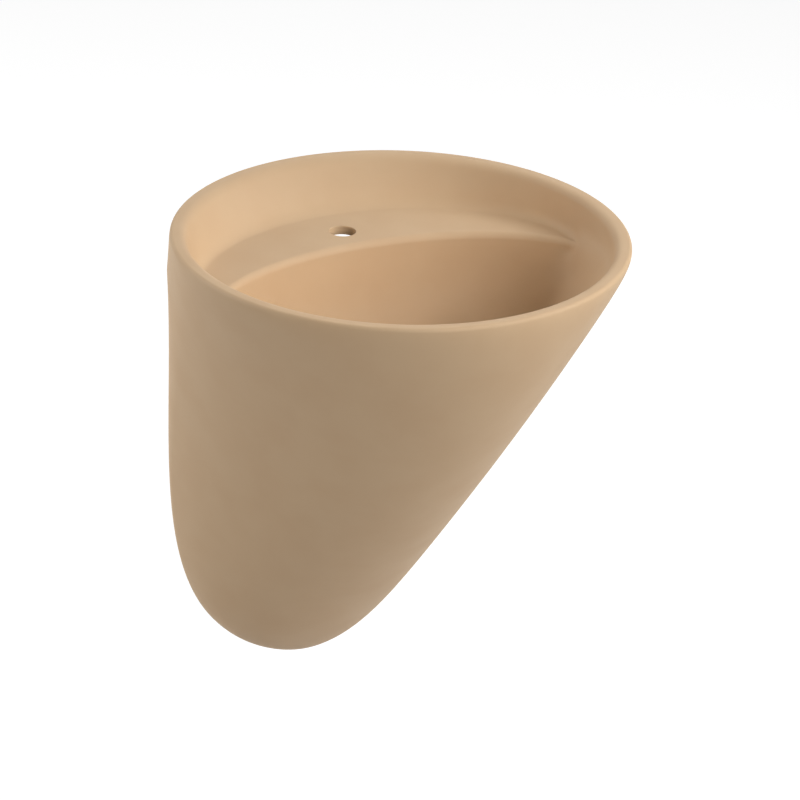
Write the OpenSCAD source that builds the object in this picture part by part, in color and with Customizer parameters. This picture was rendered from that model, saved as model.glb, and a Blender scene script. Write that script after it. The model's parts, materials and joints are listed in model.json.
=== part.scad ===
// Wall-hung round washbasin: one ceramic casting with a tapering shroud,
// hung on a steel wall plate, with a push-to-open waste and a bottle trap.
// Millimetres. The wall is the plane Y = 0, the front is -Y and Z is up.
// The origin is the middle of the four bolt holes in the wall plate.

/* [Rim] */
// Outside diameter of the rim
rim_d = 600; // [560:5:640]
// Width of the rim's top
rim_w = 21; // [18:1:26]
// Radius of the rim's outer edge
rim_edge_r = 5; // [3:0.5:7]
// Size of the rounding at the rim's inner edge
rim_lip_r = 10; // [7:0.5:12]
// Height of the rim above the middle of the wall bolts
rim_h = 220; // [216:1:232]

/* [Shroud] */
// Height of the whole casting under the rounded rim edge
shroud_h = 708; // [660:2:760]
// Depth at which the shroud starts to leave the rim's circle
shoulder_depth = 35; // [20:1:50]
// Depth of the upper shaping section
waist_depth = 275; // [240:5:310]
// Half width of the upper shaping section
waist_half_w = 168; // [150:2:190]
// Reach of the upper shaping section from the wall
waist_reach = 530; // [490:5:560]
// Depth of the lower shaping section
knee_depth = 575; // [540:5:600]
// Half width of the lower shaping section
knee_half_w = 228; // [210:2:240]
// Reach of the lower shaping section from the wall
knee_reach = 152; // [140:2:180]
// Half width that rounds the toe
toe_half_w = 160; // [140:2:180]
// Reach that rounds the toe
toe_reach = 118; // [100:2:140]
// Distance from the wall to the toe's widest line
toe_axis = 10; // [0:1:20]
// Distance from the wall to the front of the lowest line
heel_reach = 60; // [50:1:80]
// How far the back's curve would pass behind the wall before it is cut flat
back_bulge = 34; // [24:1:40]
// Thickness of the ceramic
wall_t = 13; // [11:0.5:16]
// Extra width of the flat frame round the open back
frame_extra = 2; // [0:1:8]

/* [Tap deck] */
// Depth of the tap deck under the rim
deck_depth = 55; // [50:1:60]
// Thickness of the tap deck
deck_t = 12; // [10:1:16]
// Width of the oval that the inner wall stands on
foot_w = 580; // [570:2:600]
// Length of that oval, front to back
foot_l = 502; // [492:2:516]
// Distance from the wall to the back of that oval
foot_gap = 79; // [72:1:86]
// Width of the hollow between inner wall and deck
foot_r = 10; // [8:1:14]
// Height of that hollow up the inner wall
foot_rise = 15; // [10:1:20]
// Diameter of the tap hole
tap_hole_d = 35; // [32:0.5:37]
// Distance from the wall to the tap hole
tap_y = 141; // [136:1:146]

/* [Bowl] */
// Width of the oval of the bowl's edge
bowl_w = 546; // [536:2:560]
// Length of that oval behind its widest line
bowl_back_l = 154; // [146:1:162]
// Distance from the wall to that widest line
bowl_y = 343; // [336:1:352]
// Radius of the bowl's rounded edge
bowl_edge_r = 7.5; // [5:0.5:10]
// Rounding where the bowl's side meets the tapering shroud
bowl_soft = 14; // [4:1:20]
// Depth of the bowl's floor under the rim
bowl_depth = 190; // [180:1:196]
// Exponent of the bowl's side: 2 is round, more is squarer
bowl_power = 2.6; // [2.2:0.1:3.2]
// Thickness of the ceramic under the waste
floor_t = 16; // [14:1:20]
// Radius of the level spot round the waste
floor_r = 44; // [40:1:50]
// Distance from the wall to the waste
waste_y = 315; // [310:1:322]
// Diameter of the waste hole
waste_hole_d = 46; // [44:0.5:48]

/* [Wall plate] */
// Width of the wall plate
plate_w = 150; // [140:2:170]
// Thickness of the wall plate
plate_t = 4; // [3:0.5:5]
// Distance between bolt holes, side to side
bolt_dx = 110; // [100:1:116]
// Distance between bolt holes, up and down
bolt_dz = 30; // [26:1:32]
// Diameter of a bolt hole
bolt_hole_d = 10.5; // [8:0.5:12]
// Metal left round a bolt hole
bolt_rim = 9.5; // [8:0.5:11]
// Width of a hook
hook_w = 30; // [24:1:34]
// Distance between the hooks
hook_dx = 60; // [54:1:64]
// Thickness of a hook
hook_t = 5; // [4:0.5:6]
// Height of a hook's lip over its arm
hook_lip = 14; // [10:1:18]
// Width of the rib under a hook
hook_rib_w = 5; // [4:0.5:8]
// Height of that rib along the plate
hook_rib_h = 12; // [8:1:14]
// Thickness of the sleeve between hook and ceramic
pad_t = 1.5; // [1:0.25:2.5]
// Height of the ceramic bar that hangs on the hooks
bar_h = 30; // [26:1:34]
// Depth of the ceramic bar, front to back
bar_t = 20; // [16:1:24]
// Height of the bar above the plate's top edge
bar_rise = 3; // [2:0.5:4]
// Chamfer along the bar's edges
bar_chamfer = 3; // [1:0.5:5]

/* [Waste] */
// Diameter of the waste's flange
flange_d = 64; // [60:0.5:66]
// Thickness of the waste's flange
flange_t = 2.5; // [2:0.25:3]
// Thickness of the seal under the flange
flange_seal_t = 1.5; // [1:0.25:2]
// Outside diameter of the waste's threaded body
waste_d = 41.9; // [40:0.1:42.5]
// Bore of the waste's body
waste_bore_d = 38; // [36:0.25:38.5]
// Length of the waste's body under the bowl's floor
waste_len = 54; // [50:1:60]
// Outside diameter of the gasket under the ceramic
gasket_d = 66; // [60:1:74]
// Thickness of that gasket
gasket_t = 6; // [4:0.5:8]
// Thickness of the slip washer
slip_t = 2; // [1.5:0.25:3]
// Width across the flats of the back nut
back_nut_af = 56; // [52:1:60]
// Thickness of the back nut
back_nut_t = 10; // [8:0.5:12]
// Diameter of the ceramic plug cap
cap_d = 66; // [62:0.5:70]
// Height of the ceramic plug cap
cap_h = 7; // [6:0.5:10]
// Diameter of the metal disc under the cap
holder_d = 54; // [50:0.5:56]
// Thickness of that disc
holder_t = 2; // [1.5:0.25:2.5]
// Diameter of the plug's stem
stem_d = 8; // [6:0.25:9]
// Travel of the plug
plug_travel = 8; // [6:0.5:10]
// Length of the stem that stays in the cartridge when the plug is up
stem_guide = 20; // [16:1:22]
// Diameter of the push-to-open cartridge
cartridge_d = 19; // [16:0.5:21]
// Length of the push-to-open cartridge
cartridge_len = 34; // [30:1:36]

/* [Trap] */
// Outside diameter of the tubes
tube_d = 32; // [30:0.5:33]
// Wall of the tubes
tube_t = 1.5; // [1:0.25:2]
// Outside diameter of the trap
trap_d = 60; // [56:1:62]
// Wall of the trap
trap_t = 2.5; // [2:0.25:3]
// Height of the trap's upper body
trap_body_h = 44; // [42:1:48]
// Height of the trap's cup
cup_h = 56; // [50:1:58]
// Outside diameter of the necks
neck_d = 39; // [38:0.5:40]
// Length of a neck
neck_len = 10; // [8:0.5:12]
// Outside diameter of the trap's nuts
trap_nut_d = 50; // [48:0.5:54]
// Height of a trap nut
trap_nut_h = 15.5; // [14:0.5:17]
// Thickness of a nut's inward lip
nut_lip = 2.5; // [2:0.25:3]
// Thickness of the flat inlet washer
inlet_washer_t = 2.5; // [2:0.25:3]
// Height of a tapered seal
seal_h = 4; // [3:0.5:5]
// Free length between the inlet nut and the head nut
head_gap = 3; // [2:0.5:4]
// How far the outlet pipe reaches into the wall
pipe_in_wall = 45; // [30:1:60]
// Diameter of the rosette at the wall
rosette_d = 64; // [60:1:68]
// Depth of the rosette
rosette_h = 8; // [6:0.5:10]

/* [Fits] */
// Clearance between a tube and what it passes through
slip_gap = 0.3; // [0.2:0.05:0.4]
// Clearance round the plug's stem
stem_gap = 0.06; // [0.04:0.01:0.1]
// Least distance between the wall plate and the rosette under it
rosette_gap = 3; // [2:0.5:8]
// Distance that the ceramic's bar keeps from the wall plate
bar_gap = 0.5; // [0.3:0.1:1]

/* [Hidden] */

$fn = 96;
ceramic = "#D0AE86";
steel = "#B4B8BC";
brass_chrome = "#D8DADC";
plastic = "#F2F2EF";
rubber = "#3A3A3A";

rim_r = rim_d / 2;
steps = 60;
shroud_steps = 18;
arc_steps = 3;
bowl_steps = 9;
over = 20;
eps = 0.5;

// Control sections of the shroud, one list for each measure, top to bottom
depths = [0, shoulder_depth, waist_depth, knee_depth, shroud_h, shroud_h];
half_widths = [rim_r, rim_r, waist_half_w, knee_half_w, toe_half_w, 0];
reaches = [rim_d, rim_d, waist_reach, knee_reach, toe_reach, heel_reach];
axes = [rim_r, rim_r, 0, 0, toe_axis, heel_reach];

// Point of the fifth-degree Bezier curve of the six values v
function bezier(t, v) =
    let (s = 1 - t)
    pow(s, 5) * v[0] + 5 * t * pow(s, 4) * v[1] + 10 * t * t * pow(s, 3) * v[2]
    + 10 * pow(t, 3) * s * s * v[3] + 5 * pow(t, 4) * s * v[4] + pow(t, 5) * v[5];

// Curve parameter at a given depth, found by halving
function at_depth(depth, lo = 0, hi = 1, turns = 24) =
    let (mid = (lo + hi) / 2)
    turns == 0 ? mid
    : bezier(mid, depths) < depth ? at_depth(depth, mid, hi, turns - 1)
    : at_depth(depth, lo, mid, turns - 1);

// Level ring of the shroud, drawn in from its outside by inset.
// The back half of its oval is cut at the plane Y = cut.
function shroud_ring(t, inset, back_inset, cut) =
    let (depth = bezier(t, depths),
         half_w = bezier(t, half_widths) - inset,
         reach = bezier(t, reaches) - inset,
         axis = min(bezier(t, axes), reach),
         back = axis + back_bulge * min(1, depth / (2 * shoulder_depth)) - back_inset)
    [for (i = [0 : steps - 1])
        let (a = 360 * i / steps, k = sin(a) < 0 ? reach - axis : back)
        [half_w * cos(a), min(-axis + k * sin(a), cut), rim_h - rim_edge_r - depth]];

// Distance along a ray from (0, y) at angle a to the oval with half axes p, q round (0, c)
function ray(a, y, p, q, c) =
    let (u = pow(cos(a) / p, 2) + pow(sin(a) / q, 2),
         v = (y - c) * sin(a) / (q * q),
         w = pow((y - c) / q, 2) - 1)
    (sqrt(v * v - u * w) - v) / u;

// The same to the inside of the shroud at a given depth
function ray_shroud(a, y, depth) =
    let (t = at_depth(depth - rim_edge_r),
         axis = bezier(t, axes),
         half_w = bezier(t, half_widths) - wall_t,
         front = ray(a, y, half_w, bezier(t, reaches) - axis - wall_t, -axis))
    y + front * sin(a) < -axis ? front : ray(a, y, half_w, axis + back_bulge - wall_t, -axis);

// Smaller of two lengths, with the corner between them rounded by soft
function soft_min(p, q, soft) = (p + q) / 2 - sqrt(pow((p - q) / 2, 2) + soft * soft);

// Inner wall's foot and the bowl's edge, seen from the middle of the bowl
function foot(a) =
    soft_min(ray_shroud(a, -bowl_y, deck_depth),
             ray(a, -bowl_y, foot_w / 2, foot_l / 2, -foot_gap - foot_l / 2), 4);
function edge(a) =
    soft_min(foot(a),
             ray(a, -bowl_y, bowl_w / 2, sin(a) > 0 ? bowl_back_l : bowl_w / 2, -bowl_y), 3);

// Level ring from a list of radii round (0, y)
function level_ring(radii, y, z) =
    [for (i = [0 : steps - 1])
        let (a = 360 * i / steps)
        [radii[i] * cos(a), y + radii[i] * sin(a), z]];

function each_angle() = [for (i = [0 : steps - 1]) 360 * i / steps];
function quarter(n) = [for (i = [0 : n]) 90 * i / n];
function parts(n) = [for (i = [0 : n]) i / n];

foot_radii = [for (a = each_angle()) foot(a)];
edge_radii = [for (a = each_angle()) edge(a)];
mouth_r = rim_r - rim_w;
lip_radii = [for (a = each_angle()) ray(a, -bowl_y, mouth_r + rim_lip_r, mouth_r + rim_lip_r, -rim_r)];
wall_top = [for (a = each_angle()) ray(a, -bowl_y, mouth_r, mouth_r, -rim_r)];
// The inner wall at a part s of its depth, and the curve that rounds the corner q
function wall_radii(s) = wall_top + (foot_radii - wall_top) * s;
function rounded(p, q, r, s) = pow(1 - s, 2) * p + 2 * s * (1 - s) * q + s * s * r;
// Part of the deck's width that a rounding may take, where the deck runs out at its tips
function fitted(r, width) = min(r, width / 2);

// Rings over the rim, down the inner wall, over the deck and the bowl's edge
rim_rings = concat(
    [for (f = quarter(arc_steps))
        [for (a = each_angle())
            let (r = rim_r - rim_edge_r * (1 - cos(f)))
            [r * cos(a), -rim_r + r * sin(a), rim_h - rim_edge_r * (1 - sin(f))]]],
    [for (s = parts(arc_steps))
        level_ring(rounded(lip_radii, wall_top, wall_radii(rim_lip_r / deck_depth), s),
                   -bowl_y, rim_h - rim_lip_r * s * s)]);
foot_ends = [for (i = [0 : steps - 1]) foot_radii[i] - fitted(foot_r, foot_radii[i] - edge_radii[i])];
deck_rings = concat(
    [for (s = parts(arc_steps + 1))
        level_ring(rounded(wall_radii(1 - foot_rise / deck_depth), foot_radii, foot_ends, s),
                   -bowl_y, rim_h - deck_depth + foot_rise * pow(1 - s, 2))],
    [for (f = quarter(arc_steps + 1))
        level_ring([for (i = [0 : steps - 1])
            edge_radii[i] + fitted(bowl_edge_r, foot_radii[i] - edge_radii[i]) * (1 - sin(f))],
            -bowl_y, rim_h - deck_depth - bowl_edge_r * (1 - cos(f)))]);

// Rings down the bowl: a squared quarter oval from the edge to the level spot
// round the waste, kept inside the shroud, and moved out by grow for its underside
bowl_drop = bowl_depth - deck_depth - bowl_edge_r;
function bowl_ring(f, grow) =
    let (share = pow(cos(f), 2 / bowl_power),
         y = -waste_y + (waste_y - bowl_y) * share,
         depth = deck_depth + bowl_edge_r + bowl_drop * pow(sin(f), 2 / bowl_power))
    level_ring([for (i = [0 : steps - 1])
        let (a = 360 * i / steps, r = floor_r + (edge_radii[i] - floor_r) * share)
        soft_min(r, ray_shroud(a, y, depth), 2 + bowl_soft * sin(f)) + grow * cos(f)],
        y, rim_h - depth - (floor_t * sin(f)) * (grow > 0 ? 1 : 0));
bowl_angles = quarter(bowl_steps);
bowl_rings = [for (k = [1 : bowl_steps]) bowl_ring(bowl_angles[k], 0)];
under_rings = concat(
    [for (k = [bowl_steps : -1 : 0]) bowl_ring(bowl_angles[k], wall_t)],
    [[for (p = bowl_ring(0, wall_t)) [p[0], p[1], rim_h - deck_depth]]]);

// Closed skin over a stack of rings with level ends, lowest outside ring first
module skin(rings) {
    n = len(rings);
    polyhedron(
        points = [for (r = rings) each r],
        faces = concat(
            [[for (i = [0 : steps - 1]) i]],
            [for (k = [0 : n - 2], i = [0 : steps - 1], half = [0, 1])
                let (j = (i + 1) % steps, p = k * steps, q = p + steps)
                half == 0 ? [p + i, q + i, q + j] : [p + i, q + j, p + j]],
            [[for (i = [steps - 1 : -1 : 0]) (n - 1) * steps + i]]));
}

module ring(r_out, r_in, h) {
    difference() {
        cylinder(r = r_out, h = h);
        translate([0, 0, -eps]) cylinder(r = r_in, h = h + 2 * eps);
    }
}

// Levels, as Z
deck_z = rim_h - deck_depth;
floor_z = rim_h - bowl_depth;
under_z = floor_z - floor_t;
plate_top = bolt_dz / 2 + bolt_hole_d / 2 + bolt_rim;
bar_z = plate_top + bar_rise;
bar_y = plate_t + bar_gap;
toe_end = 0.98;
space_end = 0.88;

module shroud_and_bowl() {
    skin(concat(
        [for (k = [shroud_steps : -1 : 1])
            shroud_ring(toe_end * k / shroud_steps, 0, 0, 0)],
        rim_rings, deck_rings, bowl_rings));
}

// Space between the shroud and the bowl, open at the back, crossed by the hanging bar
module back_space() {
    top = at_depth(deck_depth + deck_t - rim_edge_r);
    difference() {
        skin([for (k = [10 : -1 : 0])
            shroud_ring(top + (space_end - top) * k / 10, wall_t, wall_t / 2 + frame_extra, over)]);
        skin(under_rings);
        translate([-rim_r, 0, bar_z]) hanging_bar();
    }
}

module hanging_bar() {
    rotate([90, 0, 90]) linear_extrude(rim_d) polygon([
        [-bar_y - bar_chamfer, 0], [-bar_y, bar_chamfer],
        [-bar_y, bar_h - bar_chamfer], [-bar_y - bar_chamfer, bar_h],
        [-bar_y - bar_t + bar_chamfer, bar_h], [-bar_y - bar_t, bar_h - bar_chamfer],
        [-bar_y - bar_t, bar_chamfer], [-bar_y - bar_t + bar_chamfer, 0]]);
}

module basin() color(ceramic) {
    difference() {
        shroud_and_bowl();
        back_space();
        translate([0, -tap_y, deck_z - deck_t - over]) cylinder(d = tap_hole_d, h = deck_t + 2 * over);
        translate([0, -waste_y, under_z - over]) cylinder(d = waste_hole_d, h = floor_t + 2 * over);
    }
}

// Wall plate: a flat plate with four holes and two hooks that reach under the bar
hook_top = bar_z - pad_t;
hook_reach = bar_y + bar_t + pad_t + hook_t;

module wall_plate() color(steel) {
    difference() {
        union() {
            translate([-plate_w / 2, -plate_t, -plate_top]) cube([plate_w, plate_t, 2 * plate_top]);
            for (side = [-1, 1]) translate([side * hook_dx / 2, 0, 0]) hook();
        }
        for (x = [-1, 1], z = [-1, 1])
            translate([x * bolt_dx / 2, eps, z * bolt_dz / 2])
                rotate([90, 0, 0]) cylinder(d = bolt_hole_d, h = plate_t + 2 * eps);
    }
}

module hook() {
    translate([-hook_w / 2, 0, 0]) rotate([90, 0, 90]) linear_extrude(hook_w) polygon([
        [0, hook_top - hook_t], [0, hook_top],
        [hook_t - hook_reach, hook_top], [hook_t - hook_reach, hook_top + hook_lip],
        [hook_t / 2 - hook_reach, hook_top + hook_lip + 1], [-hook_reach, hook_top + hook_lip],
        [-hook_reach, hook_top - hook_t / 2], [hook_t / 2 - hook_reach, hook_top - hook_t]]);
    translate([-hook_rib_w / 2, 0, 0]) rotate([90, 0, 90]) linear_extrude(hook_rib_w) polygon([
        [-plate_t / 2, hook_top - hook_t / 2], [hook_t / 2 - hook_reach, hook_top - hook_t / 2],
        [hook_t / 2 - hook_reach, hook_top - hook_t - 1],
        [-plate_t / 2, hook_top - hook_t - hook_rib_h]]);
}

module hook_pads() color(plastic) {
    for (side = [-1, 1]) translate([side * hook_dx / 2 - hook_w / 2, 0, 0])
        rotate([90, 0, 90]) linear_extrude(hook_w) polygon([
            [-plate_t, hook_top], [-plate_t, bar_z],
            [pad_t - hook_reach + hook_t, bar_z],
            [pad_t - hook_reach + hook_t, hook_top + hook_lip],
            [hook_t - hook_reach, hook_top + hook_lip], [hook_t - hook_reach, hook_top]]);
}

// Waste
flange_z = floor_z + flange_seal_t;
flange_top = flange_z + flange_t;
waste_end = floor_z - waste_len;
thread_r = waste_d / 2 + slip_gap;
spider_z = flange_top - 20;
spider_h = 8;
hub_t = 3;
spoke_w = 3;
cartridge_top = flange_top - 2;
gasket_z = under_z - gasket_t;
slip_z = gasket_z - slip_t;
back_nut_z = slip_z - back_nut_t;

module at_waste(z) {
    translate([0, -waste_y, z]) children();
}

module waste_flange() color(brass_chrome) {
    at_waste(0) {
        rotate_extrude() polygon([
            [waste_bore_d / 2, waste_end], [waste_d / 2 - 1, waste_end],
            [waste_d / 2, waste_end + 1], [waste_d / 2, flange_z],
            [flange_d / 2, flange_z], [flange_d / 2, flange_z + flange_t / 2],
            [flange_d / 2 - flange_t, flange_top], [waste_bore_d / 2, flange_top]]);
        translate([0, 0, spider_z]) {
            ring(cartridge_d / 2 + hub_t, cartridge_d / 2, spider_h);
            for (a = [90 : 120 : 330]) rotate(a)
                translate([cartridge_d / 2 + hub_t / 2, -spoke_w / 2, 0])
                    cube([waste_bore_d / 2 + 0.5 - cartridge_d / 2 - hub_t / 2, spoke_w, spider_h]);
        }
    }
}

module flange_seal() color(rubber) at_waste(floor_z) ring(flange_d / 2 - 2, thread_r, flange_seal_t);

module waste_gasket() color(rubber) at_waste(gasket_z) rotate_extrude() polygon([
    [thread_r, 0], [gasket_d / 2, 0], [gasket_d / 2, gasket_t / 2],
    [gasket_d / 2 - 2, gasket_t], [thread_r, gasket_t]]);

module slip_washer() color(plastic) at_waste(slip_z) ring(gasket_d / 2 - 2, thread_r, slip_t);

module back_nut() color(brass_chrome) at_waste(back_nut_z) {
    corner = back_nut_af / 2 / cos(30);
    difference() {
        intersection() {
            cylinder(r = corner, h = back_nut_t, $fn = 6);
            rotate_extrude() polygon([
                [0, 0], [corner - 2.5, 0], [corner, 1.5],
                [corner, back_nut_t - 1.5], [corner - 2.5, back_nut_t], [0, back_nut_t]]);
        }
        translate([0, 0, -eps]) cylinder(r = thread_r, h = back_nut_t + 2 * eps);
    }
}

module cartridge() color(brass_chrome) at_waste(cartridge_top - cartridge_len) {
    difference() {
        union() {
            cylinder(d = cartridge_d, h = cartridge_len);
            translate([0, 0, cartridge_len - 3]) cylinder(d = cartridge_d + 3, h = 3);
            translate([0, 0, -4]) cylinder(d = stem_d, h = 5);
        }
        translate([0, 0, 2]) cylinder(r = stem_d / 2 + stem_gap, h = cartridge_len);
    }
}

// Plug: pushed down to close, pushed again to open
plug_gap = 0.3;
seal_t = 2;
holder_z = flange_top + plug_gap + seal_t;
stem_len = holder_z + holder_t - cartridge_top + plug_travel + stem_guide;

module plug_stem() color(steel) at_waste(holder_z + holder_t - stem_len) rotate_extrude() polygon([
    [0, 0], [stem_d / 2 - 1, 0], [stem_d / 2, 1], [stem_d / 2, stem_len], [0, stem_len]]);

module plug_seal() color(rubber) at_waste(flange_top + plug_gap) rotate_extrude() polygon([
    [waste_bore_d / 2 + 2, 0.5], [waste_bore_d / 2 + 3, 0], [holder_d / 2 - 1, 0],
    [holder_d / 2, 0.5], [holder_d / 2, seal_t], [waste_bore_d / 2 + 2, seal_t]]);

module plug_holder() color(steel) at_waste(holder_z) ring(holder_d / 2, stem_d / 2, holder_t);

// Ceramic cap with a hollow for the disc and a slightly domed top
module plug_cap() color(ceramic) at_waste(holder_z + holder_t / 2) rotate_extrude() polygon(concat(
    [[0, holder_t / 2], [holder_d / 2 + slip_gap, holder_t / 2], [holder_d / 2 + slip_gap, 0],
     [cap_d / 2 - 1, 0], [cap_d / 2, 1]],
    [for (a = [0 : 15 : 90])
        [cap_d / 2 - 3 * (1 - cos(a)), cap_h - 4 + 3 * sin(a)]],
    [[0, cap_h]]));

// Union nut standing on its lip: bore for the thread, hole in the lip for the tube
module union_nut(bore_r) {
    rotate_extrude() polygon([
        [tube_d / 2 + slip_gap, 0], [trap_nut_d / 2 - 2, 0], [trap_nut_d / 2, 2],
        [trap_nut_d / 2, trap_nut_h], [bore_r, trap_nut_h], [bore_r, nut_lip],
        [tube_d / 2 + slip_gap, nut_lip]]);
    for (a = [0 : 30 : 330]) rotate(a) translate([trap_nut_d / 2 - 0.5, -1.5, 2.5])
        cube([2, 3, trap_nut_h - 4]);
}

// Trap
tube_r = tube_d / 2;
neck_r = neck_d / 2;
washer_z = waste_end - inlet_washer_t;
tube_flange_t = 2;
tube_top = washer_z;
inlet_nut_z = tube_top - tube_flange_t - nut_lip;
// The trap hangs close under the waste, or lower on a longer inlet tube where
// its outlet has to pass under the wall plate with the rosette's width
outlet_under_head = nut_lip + seal_h + neck_len + trap_body_h / 2;
outlet_limit = -plate_top - rosette_gap - rosette_d / 2;
head_nut_top = min(inlet_nut_z - head_gap, outlet_limit + outlet_under_head);
neck_top = head_nut_top - nut_lip - seal_h;
body_top = neck_top - neck_len;
body_end = body_top - trap_body_h;
outlet_z = body_top - trap_body_h / 2;
spigot_h = 9;
cup_seal_t = 2;
cup_top = body_end - cup_seal_t;
cup_end = cup_top - cup_h;
trap_r = trap_d / 2;
trap_in_r = trap_r - trap_t;
spigot_r = trap_in_r - slip_gap;
outlet_neck = trap_r + neck_len + 2;
tube_end = cup_end + trap_t + 9;

module inlet_nut() color(brass_chrome) at_waste(inlet_nut_z) union_nut(thread_r);

module inlet_washer() color(rubber) at_waste(washer_z)
    ring(waste_d / 2 - 0.3, tube_r - tube_t, inlet_washer_t);

module inlet_tube() color(brass_chrome) at_waste(0) rotate_extrude() polygon([
    [tube_r - tube_t, tube_end], [tube_r, tube_end], [tube_r, tube_top - tube_flange_t],
    [waste_d / 2 - 0.3, tube_top - tube_flange_t], [waste_d / 2 - 0.3, tube_top],
    [tube_r - tube_t, tube_top]]);

module tapered_seal() rotate_extrude() polygon([
    [tube_r + 0.1, 0], [neck_r, 0], [neck_r - 1, seal_h], [tube_r + 0.1, seal_h]]);

module head_nut() color(brass_chrome) at_waste(head_nut_top) mirror([0, 0, 1]) union_nut(neck_r + slip_gap);
module head_seal() color(rubber) at_waste(neck_top) tapered_seal();

// Trap body: a can with a neck on top, a neck at its back and a spigot below
module trap_body() color(brass_chrome) at_waste(0) {
    difference() {
        union() {
            rotate_extrude() polygon([
                [0, body_end - spigot_h], [spigot_r, body_end - spigot_h], [spigot_r, body_end],
                [trap_r, body_end], [trap_r, body_top - 5], [trap_r - 1.5, body_top - 1.5],
                [trap_r - 5, body_top], [neck_r, body_top], [neck_r, neck_top], [0, neck_top]]);
            translate([0, 0, outlet_z]) rotate([-90, 0, 0]) cylinder(r = neck_r, h = outlet_neck);
        }
        rotate_extrude() polygon([
            [0, body_end - spigot_h - eps], [spigot_r - trap_t, body_end - spigot_h - eps],
            [spigot_r - trap_t, body_end - 2], [trap_in_r, body_end + 1],
            [trap_in_r, body_top - 6], [trap_in_r - 3.5, body_top - trap_t],
            [tube_r + slip_gap, body_top - trap_t], [tube_r + slip_gap, neck_top + eps],
            [0, neck_top + eps]]);
        translate([0, 0, outlet_z]) rotate([-90, 0, 0])
            cylinder(r = tube_r + slip_gap, h = outlet_neck + eps);
    }
}

module cup_seal() color(rubber) at_waste(cup_top) ring(trap_r - 0.5, spigot_r + 0.1, cup_seal_t);

module trap_cup() color(brass_chrome) at_waste(cup_end) {
    rotate_extrude() polygon([
        [0, 0], [trap_r - 5, 0], [trap_r - 1.5, 1.5], [trap_r, 5], [trap_r, cup_h],
        [trap_in_r, cup_h], [trap_in_r, 6], [trap_in_r - 3.5, trap_t], [0, trap_t]]);
    for (a = [0 : 30 : 330]) rotate(a) translate([trap_r - 0.5, -2, cup_h - 14])
        cube([2, 4, 12]);
}

// Outlet
module at_outlet(s) {
    translate([0, s - waste_y, outlet_z]) rotate([-90, 0, 0]) children();
}

module outlet_nut() color(brass_chrome)
    at_outlet(outlet_neck + seal_h + nut_lip) mirror([0, 0, 1]) union_nut(neck_r + slip_gap);
module outlet_seal() color(rubber) at_outlet(outlet_neck) tapered_seal();
module outlet_pipe() color(brass_chrome) at_outlet(trap_r)
    ring(tube_r, tube_r - tube_t, waste_y + pipe_in_wall - trap_r);

module wall_rosette() color(brass_chrome) at_outlet(waste_y) mirror([0, 0, 1]) rotate_extrude() polygon([
    [rosette_d / 2 - 1, 0], [rosette_d / 2, 0], [rosette_d / 2, 1.5],
    [tube_r + 6, rosette_h - 1], [tube_r + 3, rosette_h], [tube_r + slip_gap, rosette_h],
    [tube_r + slip_gap, rosette_h - 1.2], [tube_r + 3, rosette_h - 1.2]]);

basin();
wall_plate();
hook_pads();
waste_flange();
flange_seal();
waste_gasket();
slip_washer();
back_nut();
cartridge();
plug_stem();
plug_holder();
plug_seal();
plug_cap();
inlet_nut();
inlet_washer();
inlet_tube();
head_nut();
head_seal();
trap_body();
cup_seal();
trap_cup();
outlet_nut();
outlet_seal();
outlet_pipe();
wall_rosette();
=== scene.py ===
"""A wall-hung round washbasin with a tapering ceramic shroud, its waste, trap and hanging plate.

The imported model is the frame. The ceramic casting is worked out again here as fine, smooth
surfaces from the same control sections; the metal, plastic and rubber fittings keep their
solids and get their finishes. Lengths of the finishes and of the casting are millimetres,
those of the studio and of every mesh are metres.
"""

import json
import logging
import math
from dataclasses import dataclass
from enum import Enum
from typing import Sequence

import bpy
import numpy as np
from mathutils import Matrix, Vector


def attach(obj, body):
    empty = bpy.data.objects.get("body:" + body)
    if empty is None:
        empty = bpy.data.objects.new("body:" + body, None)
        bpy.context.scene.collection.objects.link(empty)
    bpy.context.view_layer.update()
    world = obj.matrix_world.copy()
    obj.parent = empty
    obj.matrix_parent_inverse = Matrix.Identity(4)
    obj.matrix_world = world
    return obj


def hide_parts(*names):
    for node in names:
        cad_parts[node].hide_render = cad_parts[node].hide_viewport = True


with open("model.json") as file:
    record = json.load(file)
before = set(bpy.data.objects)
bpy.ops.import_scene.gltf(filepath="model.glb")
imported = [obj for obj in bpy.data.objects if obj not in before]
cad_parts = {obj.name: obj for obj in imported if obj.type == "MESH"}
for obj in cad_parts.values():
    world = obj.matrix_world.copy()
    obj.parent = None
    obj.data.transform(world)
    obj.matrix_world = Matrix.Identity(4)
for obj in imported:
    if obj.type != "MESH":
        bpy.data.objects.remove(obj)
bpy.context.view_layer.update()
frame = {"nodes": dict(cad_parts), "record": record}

log = logging.getLogger("washbasin")
MM = 0.001
TINY = 1e-6  # keeps a division away from zero
Colour = tuple[float, float, float, float]
Lengths = float | np.ndarray


# Nodes

def linear(hex_code: str) -> Colour:
    """Turn an sRGB hex colour into a linear RGBA colour.

    Args:
        hex_code: six hex digits, with or without a leading #.

    Returns:
        Red, green and blue as linear light, and an alpha of 1.
    """
    code = hex_code.lstrip("#")
    parts = [int(code[i:i + 2], 16) / 255 for i in (0, 2, 4)]
    return tuple(c / 12.92 if c <= 0.04045 else ((c + 0.055) / 1.055) ** 2.4 for c in parts) + (1.0,)


def empty_tree(owner: bpy.types.Material | bpy.types.World) -> bpy.types.NodeTree:
    """Switch an owner's nodes on and clear them.

    Args:
        owner: the material or the world.

    Returns:
        Its empty tree.
    """
    owner.use_nodes = True
    owner.node_tree.nodes.clear()
    return owner.node_tree


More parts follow.
